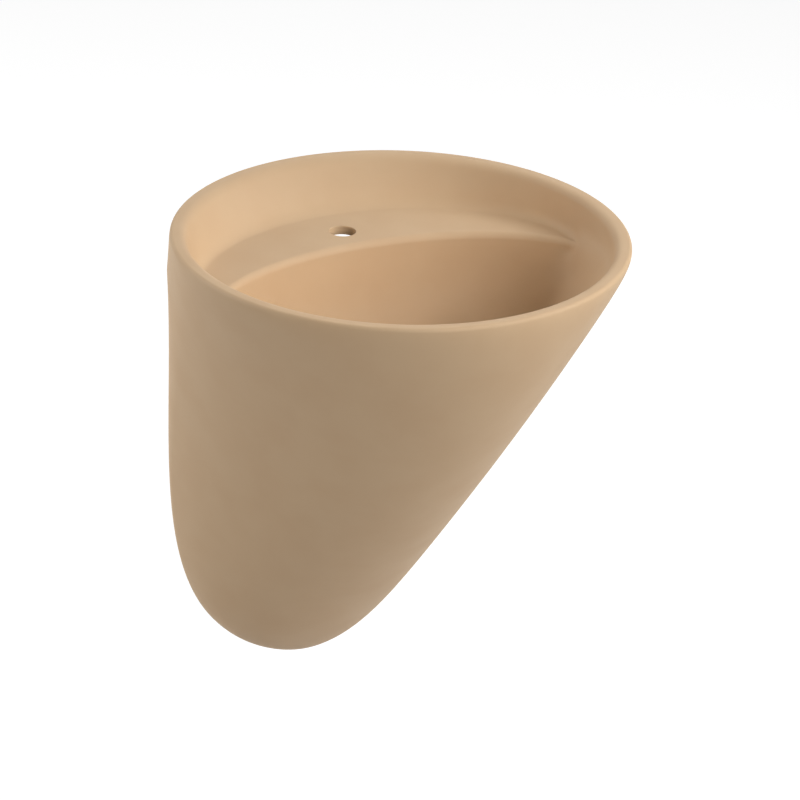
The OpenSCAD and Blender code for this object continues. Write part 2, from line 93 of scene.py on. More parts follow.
def add_node(tree: bpy.types.NodeTree, kind: str, inputs: dict[str | int, object] | None = None,
             **settings: object) -> bpy.types.Node:
    """Add a node to a tree with its settings, its values and its links.

    Args:
        tree: the node tree.
        kind: the node's type name.
        inputs: input name or number to a value, or to an output socket to link from.
        settings: properties of the node itself.

    Returns:
        The new node.
    """
    node = tree.nodes.new(kind)
    for key, value in settings.items():
        setattr(node, key, value)
    for key, value in (inputs or {}).items():
        if isinstance(value, bpy.types.NodeSocket):
            tree.links.new(value, node.inputs[key])
        else:
            node.inputs[key].default_value = value
    return node


def noise(tree: bpy.types.NodeTree, place: bpy.types.NodeSocket, size_mm: float,
          detail: float) -> bpy.types.NodeSocket:
    """Plain noise from 0 to 1 whose patches have a real size.

    Args:
        tree: the material's tree.
        place: coordinates in metres.
        size_mm: size of the patches.
        detail: octaves of finer noise on it.

    Returns:
        The noise's value socket.
    """
    made = add_node(tree, "ShaderNodeTexNoise",
                    {"Vector": place, "Scale": 1 / (size_mm * MM), "Detail": detail})
    return made.outputs["Fac"]


def ramp(tree: bpy.types.NodeTree, factor: bpy.types.NodeSocket,
         stops: Sequence[tuple[float, Colour]]) -> bpy.types.NodeSocket:
    """Colour ramp between two stops.

    Args:
        tree: the node tree.
        factor: socket that drives the ramp.
        stops: two pairs of position and linear colour.

    Returns:
        The ramp's colour socket.
    """
    node = add_node(tree, "ShaderNodeValToRGB", {"Fac": factor})
    for element, (place, colour) in zip(node.color_ramp.elements, stops):
        element.position = place
        element.color = colour
    return node.outputs["Color"]


def by_sight(tree: bpy.types.NodeTree, unseen: bpy.types.Node,
             seen: bpy.types.Node) -> bpy.types.NodeSocket:
    """Mix of two shaders: one where the surface only lights the object, the other where it is
    looked at, straight, by a mirror or through glass.

    Args:
        tree: the node tree.
        unseen: shader for the light that it gives.
        seen: shader for the looks.

    Returns:
        The mixed shader's socket.
    """
    path = add_node(tree, "ShaderNodeLightPath")
    mirror = add_node(tree, "ShaderNodeMath",
                      {0: path.outputs["Is Camera Ray"], 1: path.outputs["Is Glossy Ray"]},
                      operation="MAXIMUM")
    glass = add_node(tree, "ShaderNodeMath",
                     {0: mirror.outputs[0], 1: path.outputs["Is Transmission Ray"]},
                     operation="MAXIMUM")
    mix = add_node(tree, "ShaderNodeMixShader",
                   {"Fac": glass.outputs[0], 1: unseen.outputs[0], 2: seen.outputs[0]})
    return mix.outputs[0]


# Finishes

@dataclass(frozen=True)
class Finish:
    """One finish: a Principled surface, with a bump and a colour change of a real size.

    Attributes:
        name: the material's common name and how it was made.
        colour: main colour as sRGB hex.
        second: colour that the surface drifts towards, as sRGB hex.
        drift_mm: size of the patches of the colour drift.
        roughness: mean roughness.
        rough_range: how far the roughness wanders to each side.
        metallic: 1 for bare metal.
        ior: index of refraction, where the material isn't a metal.
        grain_mm: size of the fine relief.
        relief_mm: height of the fine relief.
        drift_detail: octaves of the colour drift's noise.
        grain_detail: octaves of the relief's noise.
        colour_span: noise at which the main colour ends and the second is reached.
        rough_span: noise at which the least and the most roughness are reached.
    """

    name: str
    colour: str
    second: str
    drift_mm: float
    roughness: float
    rough_range: float = 0.03
    metallic: float = 0.0
    ior: float = 1.5
    grain_mm: float = 2.0
    relief_mm: float = 0.01
    drift_detail: float = 3.0
    grain_detail: float = 2.0
    colour_span: tuple[float, float] = (0.35, 0.68)
    rough_span: tuple[float, float] = (0.3, 0.7)

    def grain(self, tree: bpy.types.NodeTree, place: bpy.types.NodeSocket) -> bpy.types.NodeSocket:
        """Fine relief as a height from 0 to 1: plain noise, one grain wide.

        Args:
            tree: the material's tree.
            place: the Object coordinates.

        Returns:
            The height socket.
        """
        return noise(tree, place, self.grain_mm, self.grain_detail)

    def material(self) -> bpy.types.Material:
        """Build the finish as a node material.

        Returns:
            The material.
        """
        made = bpy.data.materials.new(self.name)
        tree = empty_tree(made)
        place = add_node(tree, "ShaderNodeTexCoord").outputs["Object"]
        drift = noise(tree, place, self.drift_mm, self.drift_detail)
        colour = ramp(tree, drift, list(zip(self.colour_span, map(linear, (self.colour, self.second)))))
        rough = add_node(tree, "ShaderNodeMapRange",
                         {"Value": drift, "From Min": self.rough_span[0], "From Max": self.rough_span[1],
                          "To Min": self.roughness - self.rough_range,
                          "To Max": self.roughness + self.rough_range})
        bump = add_node(tree, "ShaderNodeBump",
                        {"Height": self.grain(tree, place), "Strength": 1.0,
                         "Distance": self.relief_mm * MM})
        values = {"Base Color": colour, "Roughness": rough.outputs["Result"],
                  "Normal": bump.outputs["Normal"], "Metallic": self.metallic}
        if not self.metallic:
            values["IOR"] = self.ior
        shader = add_node(tree, "ShaderNodeBsdfPrincipled", values)
        add_node(tree, "ShaderNodeOutputMaterial", {"Surface": shader.outputs["BSDF"]})
        return made


@dataclass(frozen=True)
class TurnedFinish(Finish):
    """Metal turned on a lathe: fine rings along one axis instead of plain noise.

    Attributes:
        axis: 0, 1 or 2 for the axis that the rings follow.
        squeeze: scale of the noise across that axis, which draws it out flat.
    """

    axis: int = 2
    squeeze: float = 0.02

    def grain(self, tree: bpy.types.NodeTree, place: bpy.types.NodeSocket) -> bpy.types.NodeSocket:
        """Rings as a height: noise drawn out flat across the turning axis.

        Args:
            tree: the material's tree.
            place: the Object coordinates.

        Returns:
            The height socket.
        """
        stretch = [self.squeeze] * 3
        stretch[self.axis] = 1.0
        drawn = add_node(tree, "ShaderNodeMapping", {"Vector": place, "Scale": tuple(stretch)})
        return super().grain(tree, drawn.outputs["Vector"])


# Sanitary ceramic with a matt coloured glaze, sprayed and fired: an even sand colour, soft
# broad highlights, and a faint waviness of the glaze a few millimetres wide.
MATT_GLAZE = Finish("matt_sand_glaze", "D1B28D", "CFAF8A", 60.0, 0.6, 0.02, ior=1.4,
                    grain_mm=3.0, relief_mm=0.006)
# The casting's bare fired clay, inside the shroud: pale, dry and slightly grainy.
BARE_CLAY = Finish("bare_fired_clay", "D8CDB9", "C6B79E", 35.0, 0.85, 0.05, ior=1.45,
                   grain_mm=0.8, relief_mm=0.06)
# Chrome plate over brass, polished: mirror bright with a slightly cool cast.
CHROME_PLATE = Finish("chrome_plate", "DCDEE0", "D6D9DC", 25.0, 0.09, 0.03, metallic=1.0,
                      grain_mm=6.0, relief_mm=0.002)
# Free-turning brass, bare: warm, with the tool's rings.
TURNED_BRASS = TurnedFinish("turned_brass", "C9A760", "BF9A52", 8.0, 0.28, 0.05, metallic=1.0,
                            grain_mm=0.4, relief_mm=0.01)
# Steel plate with a bright zinc coat: cool grey with cloudy spangle.
ZINC_PLATE = Finish("zinc_plated_steel", "B9BEC4", "A3A9B0", 9.0, 0.36, 0.08, metallic=1.0,
                    grain_mm=1.2, relief_mm=0.01)
# Polyethylene, injection moulded: milky white, with a fine moulded grain.
MOULDED_PLASTIC = Finish("moulded_polyethylene", "EDEDE8", "E4E4DE", 12.0, 0.5, 0.04,
                         grain_mm=0.5, relief_mm=0.01)
# EPDM rubber, pressed: near black with a dusty bloom.
PRESSED_RUBBER = Finish("pressed_epdm_rubber", "232323", "303030", 6.0, 0.7, 0.05,
                        grain_mm=0.6, relief_mm=0.02)


class Slot(Enum):
    """The record's material slots."""

    CERAMIC = "ceramic"
    PLATE = "plate_steel"
    PLASTIC = "plastic"
    CHROME = "chrome"
    BRASS = "brass"
    RUBBER = "rubber"


# Meshes

def put(name: str, data: bpy.types.ID) -> bpy.types.Object:
    """Make an object of a mesh, a lamp or a camera, and link it into the scene.

    Args:
        name: the object's name.
        data: what it holds.

    Returns:
        The object.
    """
    made = bpy.data.objects.new(name, data)
    bpy.context.scene.collection.objects.link(made)
    return made


def mesh_from_rings(name: str, rings: np.ndarray) -> bpy.types.Mesh:
    """Closed skin over a stack of rings; the first and last ring get a flat end.

    Vertex k * n + i is point i of ring k, and each cell of the grid is one quad.

    Args:
        name: the mesh's name.
        rings: array of shape (rings, points, 3), in metres, anticlockwise from above and
            going up the outside first, so that the faces point outwards.

    Returns:
        The mesh.
    """
    count, around = rings.shape[:2]
    k, i = np.meshgrid(np.arange(count - 1), np.arange(around), indexing="ij")
    j = (i + 1) % around
    quads = np.stack([k * around + i, k * around + j, (k + 1) * around + j, (k + 1) * around + i],
                     axis=-1).reshape(-1, 4)
    ends = [np.arange(around)[::-1], (count - 1) * around + np.arange(around)]
    mesh = bpy.data.meshes.new(name)
    mesh.from_pydata(rings.reshape(-1, 3), [], quads.tolist() + [e.tolist() for e in ends])
    mesh.validate()
    mesh.update()
    return mesh


def turned(name: str, profile: np.ndarray, place: Sequence[float], around: int) -> bpy.types.Mesh:
    """Surface of revolution: each profile point (r, z) becomes a circle of radius r at height z.

    Args:
        name: the mesh's name.
        profile: array of (r, z) in millimetres, lowest end first, outside first.
        place: (x, y) of the axis in millimetres.
        around: points on each circle.

    Returns:
        The closed mesh.
    """
    angle = np.linspace(0, 2 * np.pi, around, endpoint=False)
    x = place[0] + profile[:, :1] * np.cos(angle)
    y = place[1] + profile[:, :1] * np.sin(angle)
    z = np.broadcast_to(profile[:, 1:], x.shape)
    return mesh_from_rings(name, np.stack([x, y, z], axis=-1) * MM)


def show(mesh: bpy.types.Mesh, name: str, body: str, slot: Slot) -> bpy.types.Object:
    """Put a finished mesh into the scene on a body.

    Args:
        mesh: the mesh, already in its place and with its finish.
        name: the piece's name.
        body: the body that it rides on.
        slot: the record's slot that its finish belongs to; it is not used.

    Returns:
        The object.
    """
    piece = put(name, mesh)
    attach(piece, body)
    return piece


def carved(block: bpy.types.Mesh, cutters: Sequence[bpy.types.Mesh]) -> bpy.types.Mesh:
    """The block less each cutter in turn.

    Args:
        block: closed mesh to cut; its object is made only for the work.
        cutters: closed meshes to take away.

    Returns:
        The new mesh, with the cutters' materials on the cut faces.
    """
    body = put("block", block)
    tools = []
    for number, cutter in enumerate(cutters):
        tools.append(put(f"cutter{number}", cutter))
        cut = body.modifiers.new(f"cut{number}", "BOOLEAN")
        cut.operation = "DIFFERENCE"
        cut.solver = "MANIFOLD"
        cut.material_mode = "TRANSFER"
        cut.object = tools[-1]
    graph = bpy.context.evaluated_depsgraph_get()
    made = bpy.data.meshes.new_from_object(body.evaluated_get(graph))
    for worker in [body, *tools]:
        bpy.data.objects.remove(worker)
    return made


# Curves

def smooth(part: Lengths) -> Lengths:
    """Smooth step 3 u^2 - 2 u^3, where u is the part held between 0 and 1.

    Args:
        part: how far the step has come, 0 at its start and 1 at its end.

    Returns:
        Its share, from 0 to 1.
    """
    u = np.clip(part, 0, 1)
    return u * u * (3 - 2 * u)


def soft_min(p: Lengths, q: Lengths, soft: Lengths) -> np.ndarray:
    """Smaller of two lengths, with the corner between them rounded: the lower branch of a
    hyperbola that has p and q as its asymptotes and passes soft below their meeting point.

    Args:
        p: first length.
        q: second length.
        soft: rounding.

    Returns:
        The rounded minimum.
    """
    return (p + q) / 2 - np.sqrt(((p - q) / 2) ** 2 + soft ** 2)


def ray(angle: np.ndarray, start: float, half_w: Lengths, half_l: Lengths, centre: Lengths) -> np.ndarray:
    """Distance from (0, start), in the direction angle, to the oval x = half_w cos t,
    y = centre + half_l sin t: the larger root of its quadratic.

    Args:
        angle: directions, in radians.
        start: Y of the starting point.
        half_w: half width of the oval.
        half_l: half length of the oval.
        centre: Y of its centre.

    Returns:
        The distances.
    """
    square = (np.cos(angle) / half_w) ** 2 + (np.sin(angle) / half_l) ** 2
    slope = (start - centre) * np.sin(angle) / np.square(half_l)
    rest = ((start - centre) / half_l) ** 2 - 1
    return (np.sqrt(slope ** 2 - square * rest) - slope) / square


def level(radii: np.ndarray, angle: np.ndarray, y: float, z: float) -> np.ndarray:
    """One level ring round the point (0, y).

    Args:
        radii: distance of each of its points from (0, y).
        angle: direction of each of its points.
        y: Y of the middle.
        z: height of the ring.

    Returns:
        Array of shape (points, 3).
    """
    return np.stack([radii * np.cos(angle), y + radii * np.sin(angle), np.full_like(radii, z)], axis=-1)


@dataclass
class Casting:
    """The ceramic: rim, inner wall, tap deck, bowl, shroud and the open space at its back.

    The shroud follows a fifth-degree Bezier curve whose six control points are level
    sections, each a half oval in front and a half oval behind. Sizes are those of the solid,
    apart from the soft forms of the glaze. bowl_edge_r is 7.5 in the solid, and bowl_soft is
    14 there and slower to come in. The run-out of the deck with its ridge and its lift,
    back_soft and drill_ease are here alone.
    """

    # Rim: its circle, its width, the rounding of its outer and inner edge, its top's height
    rim_d: float = 600.0
    rim_w: float = 21.0
    rim_edge_r: float = 5.0
    rim_lip_r: float = 10.0
    rim_h: float = 220.0
    # Shroud: each control section's depth under the rim's widest line, its half width, how
    # far its front reaches from the wall, and how far from the wall it is widest
    depths: tuple[float, ...] = (0.0, 35.0, 275.0, 575.0, 708.0, 708.0)
    half_widths: tuple[float, ...] = (300.0, 300.0, 168.0, 228.0, 160.0, 0.0)
    reaches: tuple[float, ...] = (600.0, 600.0, 530.0, 152.0, 118.0, 60.0)
    axes: tuple[float, ...] = (300.0, 300.0, 0.0, 0.0, 10.0, 60.0)
    # Its back would bulge past the wall, in full from this depth on, and is cut off flat;
    # the cut's corner is rounded, in full from its own depth on
    back_bulge: float = 34.0
    bulge_depth: float = 70.0
    back_soft: float = 1.2
    back_soft_depth: float = 40.0
    # Thickness of the wall, and what the frame round the open back has more than half of it
    wall_t: float = 13.0
    frame_extra: float = 2.0
    # Tap deck: depth under the rim's top, thickness, and its hole
    deck_depth: float = 55.0
    deck_t: float = 12.0
    tap_hole_d: float = 35.0
    tap_y: float = 141.0
    # Line on which the inner wall stands: its oval, the oval's gap to the wall, the rounding
    # where it meets the shroud, and the run and rise of the wall's rounded foot
    foot_w: float = 580.0
    foot_l: float = 502.0
    foot_gap: float = 79.0
    foot_soft: float = 4.0
    foot_r: float = 10.0
    foot_rise: float = 15.0
    # Run-out of the deck: the depths between which it acts, and the widths of the deck at
    # which it starts and is complete
    melt_depths: tuple[float, float] = (28.0, 105.0)
    melt_widths: tuple[float, float] = (12.0, 1.5)
    # Ridge on the run-out: height, sines of the angles where it is gone and full, depth of
    # its crest, and the height of its upper and lower flank
    ridge_h: float = 5.0
    ridge_reach: tuple[float, float] = (-0.4, 0.1)
    ridge_depth: float = 58.0
    ridge_flanks: tuple[float, float] = (26.0, 34.0)
    # Lift of the run-out: height, sines of the angles where it is nil and full, and the depths
    # where it starts, is full, is full still, and ends
    lift_h: float = 18.0
    lift_reach: tuple[float, float] = (0.25, -0.45)
    lift_depths: tuple[float, float, float, float] = (12.0, 52.0, 64.0, 120.0)
    # Edge of the bowl: width, length behind its middle, distance of that from the wall,
    # rounding where its line meets the foot line, and the rounded edge itself
    bowl_w: float = 546.0
    bowl_back_l: float = 154.0
    bowl_y: float = 343.0
    edge_soft: float = 3.0
    bowl_edge_r: float = 10.0
    # Bowl: rounding of its corner with the shroud at the edge and what comes to it towards
    # the floor, depth under the rim's top, and power of its squared oval
    least_soft: float = 2.0
    bowl_soft: float = 24.0
    bowl_depth: float = 190.0
    bowl_power: float = 2.6
    # Floor of the bowl: thickness, radius, and the waste's distance from the wall and hole
    floor_t: float = 16.0
    floor_r: float = 44.0
    waste_y: float = 315.0
    waste_hole_d: float = 46.0
    # Bar that hangs on the hooks: height of its underside, its own height and thickness, its
    # gap to the wall, and its chamfer
    bar_low: float = 32.75
    bar_h: float = 30.0
    bar_t: float = 20.0
    bar_y: float = 4.5
    bar_chamfer: float = 3.0
    # Drilled holes: how much their upper edge is eased, by how many degrees of a circle, and
    # how far the drill goes past the ceramic
    drill_ease: float = 1.2
    drill_turn: float = 82.0
    drill_past: float = 20.0
    # Points round the outside, the hollow, the bowl's underside and a drill
    around: int = 240
    hollow_around: int = 160
    under_around: int = 200
    drill_around: int = 72
    # Rings of a rounded corner, of the inner wall, of the deck, of the bowl and its
    # underside, and of an eased edge
    corner_rings: int = 13
    wall_rings: int = 8
    deck_rings: int = 6
    bowl_rings: int = 61
    under_rings: int = 41
    ease_rings: int = 9
    # Curve parameters at which the toe is closed, at which the rings get finer towards the
    # rim, and at which the hollow ends, and the rings of each stretch
    toe_t: float = 0.98
    fine_t: float = 0.12
    hollow_t: float = 0.88
    shroud_rings: int = 110
    fine_rings: int = 24
    hollow_rings: int = 70
    # Spacing of the outside's points: angle of the back's corner near the rim, how strongly
    # they crowd at the corner lower down, and the depths between which that comes
    corner_deg: float = 63.0
    crowding: float = 1.6
    crowd_depths: tuple[float, float] = (4.0, 50.0)
    # Plane behind the wall at which the hollow ends, and the least angle of a sharp edge
    open_y: float = 20.0
    sharp_deg: float = 32.0
    # Points of the table that turns a depth into a curve parameter
    table_points: int = 4001

    def bezier(self, t: Lengths, values: Sequence[float]) -> np.ndarray:
        """Points of the fifth-degree Bezier curve of six values: their sum with the weights
        binomial(5, k) t^k (1 - t)^(5 - k).

        Args:
            t: curve parameters.
            values: the six values.

        Returns:
            The curve's values.
        """
        t = np.asarray(t, dtype=float)
        return sum(math.comb(5, k) * t ** k * (1 - t) ** (5 - k) * v for k, v in enumerate(values))

    def at_depth(self, depth: float) -> float:
        """Curve parameter at a depth under the rim's widest line, read off a fine table.

        Args:
            depth: the depth.

        Returns:
            The parameter.
        """
        t = np.linspace(0, 1, self.table_points)
        return float(np.interp(depth, self.bezier(t, self.depths), t))

    def section(self, t: np.ndarray) -> tuple[np.ndarray, ...]:
        """Level sections of the shroud.

        Args:
            t: curve parameters.

        Returns:
            Depths, half widths, reaches, widest lines and back bulges.
        """
        depth, half_w, reach, axis = (self.bezier(t, v) for v in
                                      (self.depths, self.half_widths, self.reaches, self.axes))
        bulge = self.back_bulge * np.minimum(1, depth / self.bulge_depth)
        return depth, half_w, reach, np.minimum(axis, reach), bulge

    def even_angles(self, count: int) -> np.ndarray:
        """Angles all the way round from the front, evenly spaced.

        Args:
            count: how many.

        Returns:
            The angles in radians, from a right angle below zero on.
        """
        return np.linspace(-np.pi / 2, 1.5 * np.pi, count, endpoint=False)

    def fitted_angles(self, t: np.ndarray) -> np.ndarray:
        """Angles of each ring that put a point on both corners of the flat back.

        The corner is where the back half oval meets the wall plane. Each side is spaced so
        that points crowd at the corner; near the rim the spacing turns even again.

        Args:
            t: curve parameters of the rings.

        Returns:
            Array of shape (rings, around).
        """
        depth, _, _, axis, bulge = self.section(t)
        even_corner = math.radians(self.corner_deg)
        corner = np.arcsin(np.clip(axis / np.maximum(axis + bulge, TINY), -1, 1))
        corner = np.minimum(corner, even_corner)
        flat_share = (math.pi - 2 * even_corner) / (2 * math.pi)
        side_n = (self.around - round(self.around * flat_share)) // 2
        side = np.linspace(0, 1, side_n, endpoint=False)
        flat = np.linspace(0, 1, self.around - 2 * side_n, endpoint=False)

        def spaced(s: np.ndarray, f: np.ndarray, edge: np.ndarray) -> np.ndarray:
            """Right side, flat back, left side, as angles for each ring."""
            edge = edge[:, None]
            right = -math.pi / 2 + (edge + math.pi / 2) * s
            back = edge + (math.pi - 2 * edge) * f
            left = (math.pi - edge) + (edge + math.pi / 2) * (1 - np.append(s, 1.0)[::-1][:-1])
            return np.concatenate([right, back, left], axis=1)

        even = spaced(side, flat, np.full_like(corner, even_corner))
        crowded = spaced(1 - (1 - side) ** self.crowding, (1 - np.cos(np.pi * flat)) / 2, corner)
        near, far = self.crowd_depths
        w = smooth((depth - near) / (far - near))[:, None]
        return even * (1 - w) + crowded * w

    def shroud(self, t: np.ndarray, angles: np.ndarray, inset: float = 0.0, back_inset: float = 0.0,
               cut: float = 0.0, soft: float = 0.0) -> np.ndarray:
        """Level rings of the shroud: x = half width cos a, y = -axis + k sin a, with k the
        front or the back half length; y is held in front of the plane y = cut.

        Args:
            t: curve parameters.
            angles: (rings, points) in radians.
            inset: distance drawn in from the outside.
            back_inset: distance that the back is drawn in.
            cut: plane that cuts the back.
            soft: rounding of the cut's corner.

        Returns:
            Array of shape (rings, points, 3), in millimetres.
        """
        depth, half_w, reach, axis, bulge = (v[:, None] for v in self.section(t))
        front = reach - inset - axis
        back = axis + bulge - back_inset
        y = -axis + np.where(np.sin(angles) < 0, front, back) * np.sin(angles)
        fade = soft * np.clip(depth / self.back_soft_depth, 0, 1)
        y = soft_min(y, cut, fade) if soft else np.minimum(y, cut)
        x = (half_w - inset) * np.cos(angles)
        z = np.broadcast_to(self.rim_h - self.rim_edge_r - depth, x.shape)
        return np.stack([x, y, z], axis=-1)

    def ray_shroud(self, angle: np.ndarray, start: float, depth: float) -> np.ndarray:
        """Distance from (0, start) to the inside of the shroud.

        Args:
            angle: directions, in radians.
            start: Y of the starting point.
            depth: depth under the rim's top.

        Returns:
            The distances.
        """
        t = self.at_depth(depth - self.rim_edge_r)
        axis = self.bezier(t, self.axes)
        half_w = self.bezier(t, self.half_widths) - self.wall_t
        front = ray(angle, start, half_w, self.bezier(t, self.reaches) - axis - self.wall_t, -axis)
        back = ray(angle, start, half_w, axis + self.back_bulge - self.wall_t, -axis)
        return np.where(start + front * np.sin(angle) < -axis, front, back)

    def foot(self, angle: np.ndarray) -> np.ndarray:
        """Line on which the inner wall stands: its own oval, held inside the shroud.

        Args:
            angle: directions, in radians.

        Returns:
            Its radii, seen from the bowl's middle.
        """
        oval = ray(angle, -self.bowl_y, self.foot_w / 2, self.foot_l / 2, -self.foot_gap - self.foot_l / 2)
        return soft_min(self.ray_shroud(angle, -self.bowl_y, self.deck_depth), oval, self.foot_soft)

    def edge(self, angle: np.ndarray) -> np.ndarray:
        """Bowl's edge: a circle in front and half an oval behind, held inside the foot line.

        Args:
            angle: directions, in radians.

        Returns:
            Its radii, seen from the bowl's middle.
        """
        length = np.where(np.sin(angle) > 0, self.bowl_back_l, self.bowl_w / 2)
        oval = ray(angle, -self.bowl_y, self.bowl_w / 2, length, -self.bowl_y)
        return soft_min(self.foot(angle), oval, self.edge_soft)

    def inner_rings(self, angle: np.ndarray) -> np.ndarray:
        """Rings over the rim's inner edge, down the inner wall, over the deck and the bowl's edge.

        The wall is straight from the rim's circle to its foot. Both of its corners are
        rounded by a second-degree Bezier curve, (1 - s)^2 p + 2 s (1 - s) q + s^2 r with the
        corner as q, and the bowl's edge is a quarter oval.

        Args:
            angle: the angles of the points.

        Returns:
            Array of shape (rings, points, 3), in millimetres.
        """
        y, top, lip_r = -self.bowl_y, self.rim_h, self.rim_lip_r
        mouth = self.rim_d / 2 - self.rim_w
        foot, edge = self.foot(angle), self.edge(angle)
        corner = ray(angle, y, mouth, mouth, -self.rim_d / 2)
        lip_start = ray(angle, y, mouth + lip_r, mouth + lip_r, -self.rim_d / 2)
        low = foot - np.minimum(self.foot_r, (foot - edge) / 2)
        lip = np.minimum(self.bowl_edge_r, (foot - edge) / 2)

        def wall(part: float) -> np.ndarray:
            """Radii of the straight wall at a part of its depth."""
            return corner + (foot - corner) * part

        def rounded(p: np.ndarray, q: np.ndarray, r: np.ndarray, s: float) -> np.ndarray:
            """Radii of the curve that rounds the corner q between p and r."""
            return (1 - s) ** 2 * p + 2 * s * (1 - s) * q + s * s * r

        lip_part, foot_part = lip_r / self.deck_depth, 1 - self.foot_rise / self.deck_depth
        steps, deck = np.linspace(0, 1, self.corner_rings), top - self.deck_depth
        rows = [(rounded(lip_start, corner, wall(lip_part), s), top - lip_r * s * s) for s in steps]
        rows += [(wall(part), top - self.deck_depth * part)
                 for part in np.linspace(lip_part, foot_part, self.wall_rings)[1:-1]]
        rows += [(rounded(wall(foot_part), foot, low, s), deck + self.foot_rise * (1 - s) ** 2)
                 for s in steps]
        rows += [(low + (edge + lip - low) * part, deck)
                 for part in np.linspace(0, 1, self.deck_rings)[1:-1]]
        rows += [(edge + lip * (1 - math.sin(f)), deck - self.bowl_edge_r * (1 - math.cos(f)))
                 for f in np.linspace(0, np.pi / 2, self.corner_rings)]
        return np.stack([level(radii, angle, y, z) for radii, z in rows])

    def run_out(self, rings: np.ndarray, angle: np.ndarray, depth: np.ndarray) -> None:
        """Let the deck run out into the inner wall where it gets narrow.

        Along each angle the part between two depths is drawn towards the cubic Hermite curve
        that leaves the wall and meets the bowl along their own directions. The share of that
        curve rises smoothly from 0 where the deck is wide to 1 where it ends. A low rounded
        ridge on it carries the bowl's edge on and fades out towards the front: both flanks
        and the fading are smooth steps.

        Args:
            rings: points of the rings from the rim down, (ring, angle, 3), moved in place.
            angle: the angles of the points.
            depth: depth of each ring under the rim's top.
        """
        first, last = (int(np.searchsorted(depth, d)) for d in self.melt_depths)
        wide, narrow = self.melt_widths
        share = smooth((wide - (self.foot(angle) - self.edge(angle))) / (wide - narrow))[:, None]
        start, end = rings[first], rings[last]
        fall = depth[last] - depth[first]
        leave = (start - rings[first - 1]) / (depth[first] - depth[first - 1]) * fall
        meet = (rings[last + 1] - end) / (depth[last + 1] - depth[last]) * fall
        moved = slice(first + 1, last)
        t = ((depth[moved] - depth[first]) / fall)[:, None, None]
        curve = ((2 * t ** 3 - 3 * t * t + 1) * start + (t ** 3 - 2 * t * t + t) * leave
                 + (3 * t * t - 2 * t ** 3) * end + (t ** 3 - t * t) * meet)
        off = depth[moved] - self.ridge_depth
        upper, lower = self.ridge_flanks
        slope = smooth(1 + np.where(off < 0, off / upper, -off / lower))
        gone, full = self.ridge_reach
        height = self.ridge_h * smooth((np.sin(angle) - gone) / (full - gone))
        inward = np.stack([-np.cos(angle), -np.sin(angle), np.zeros_like(angle)], axis=-1)
        ridge = slope[:, None, None] * height[:, None] * inward
        rings[moved] += share * (curve + ridge - rings[moved])

    def raised(self, rings: np.ndarray, angle: np.ndarray, depth: np.ndarray) -> None:
        """Raise the run-out as it goes round to the front wall: a lift that comes and goes by
        smooth steps, both along the angle and down the depth.

        Args:
            rings: points of the rings from the rim down, (ring, angle, 3), moved in place.
            angle: the angles of the points.
            depth: depth of each ring under the rim's top, before the run-out.
        """
        nil, most = self.lift_reach
        rise = smooth((nil - np.sin(angle)) / (nil - most))
        start, full, still, end = self.lift_depths
        part = smooth((depth - start) / (full - start)) * smooth((end - depth) / (end - still))
        rings[:, :, 2] += self.lift_h * part[:, None] * rise

    def bowl_ring(self, f: float, angle: np.ndarray, grow: float) -> np.ndarray:
        """Ring of the bowl at angle f of its squared quarter oval: with u = cos f and
        v = sin f, both to the power of 2 / bowl_power, u is the share of the way from the
        floor out to the edge and v the share of the depth. It is held inside the shroud.

        Args:
            f: 0 at the edge and a right angle at the waste.
            angle: the angles of the points.
            grow: thickness by which the underside stands out, or 0 for the bowl itself.

        Returns:
            Array of shape (points, 3), in millimetres.
        """
        power = 2 / self.bowl_power
        share = max(math.cos(f), 0.0) ** power
        y = -self.waste_y + (self.waste_y - self.bowl_y) * share
        drop = self.bowl_depth - self.deck_depth - self.bowl_edge_r
        depth = self.deck_depth + self.bowl_edge_r + drop * math.sin(f) ** power
        soft = self.least_soft + self.bowl_soft * math.sqrt(math.sin(f))
        r = self.floor_r + (self.edge(angle) - self.floor_r) * share
        r = soft_min(r, self.ray_shroud(angle, y, depth), soft) + grow * math.cos(f)
        sunk = self.floor_t * math.sin(f) if grow > 0 else 0.0
        return level(r, angle, y, self.rim_h - depth - sunk)

    def outside(self) -> bpy.types.Mesh:
        """The whole casting as if it were solid behind: shroud, rim, inner wall, deck and bowl.

        Returns:
            The closed mesh.
        """
        t = np.concatenate([np.linspace(self.toe_t, self.fine_t, self.shroud_rings),
                            np.linspace(self.fine_t, 0.0, self.fine_rings)[1:-1]])
        angle = self.even_angles(self.around)
        circle, edge_r = self.rim_d / 2, self.rim_edge_r
        rim = [level(np.full_like(angle, circle - edge_r * (1 - math.cos(f))), angle, -circle,
                     self.rim_h - edge_r * (1 - math.sin(f)))
               for f in np.linspace(0, np.pi / 2, self.corner_rings)]
        bowl = [self.bowl_ring(f, angle, 0.0) for f in np.linspace(0, np.pi / 2, self.bowl_rings)[1:]]
        inside = np.concatenate([self.inner_rings(angle), bowl])
        depth = self.rim_h - inside[:, 0, 2]
        self.run_out(inside, angle, depth)
        self.raised(inside, angle, depth)
        shroud = self.shroud(t, self.fitted_angles(t), soft=self.back_soft)
        return mesh_from_rings("casting_outside", np.concatenate([shroud, rim, inside]) * MM)

    def hollow(self) -> bpy.types.Mesh:
        """The space inside the shroud, from the deck's underside to above the toe.

        Returns:
            The closed mesh.
        """
        top = self.at_depth(self.deck_depth + self.deck_t - self.rim_edge_r)
        t = np.linspace(self.hollow_t, top, self.hollow_rings)
        angles = np.broadcast_to(self.even_angles(self.hollow_around), (len(t), self.hollow_around))
        rings = self.shroud(t, angles, self.wall_t, self.wall_t / 2 + self.frame_extra, self.open_y)
        return mesh_from_rings("casting_hollow", rings * MM)

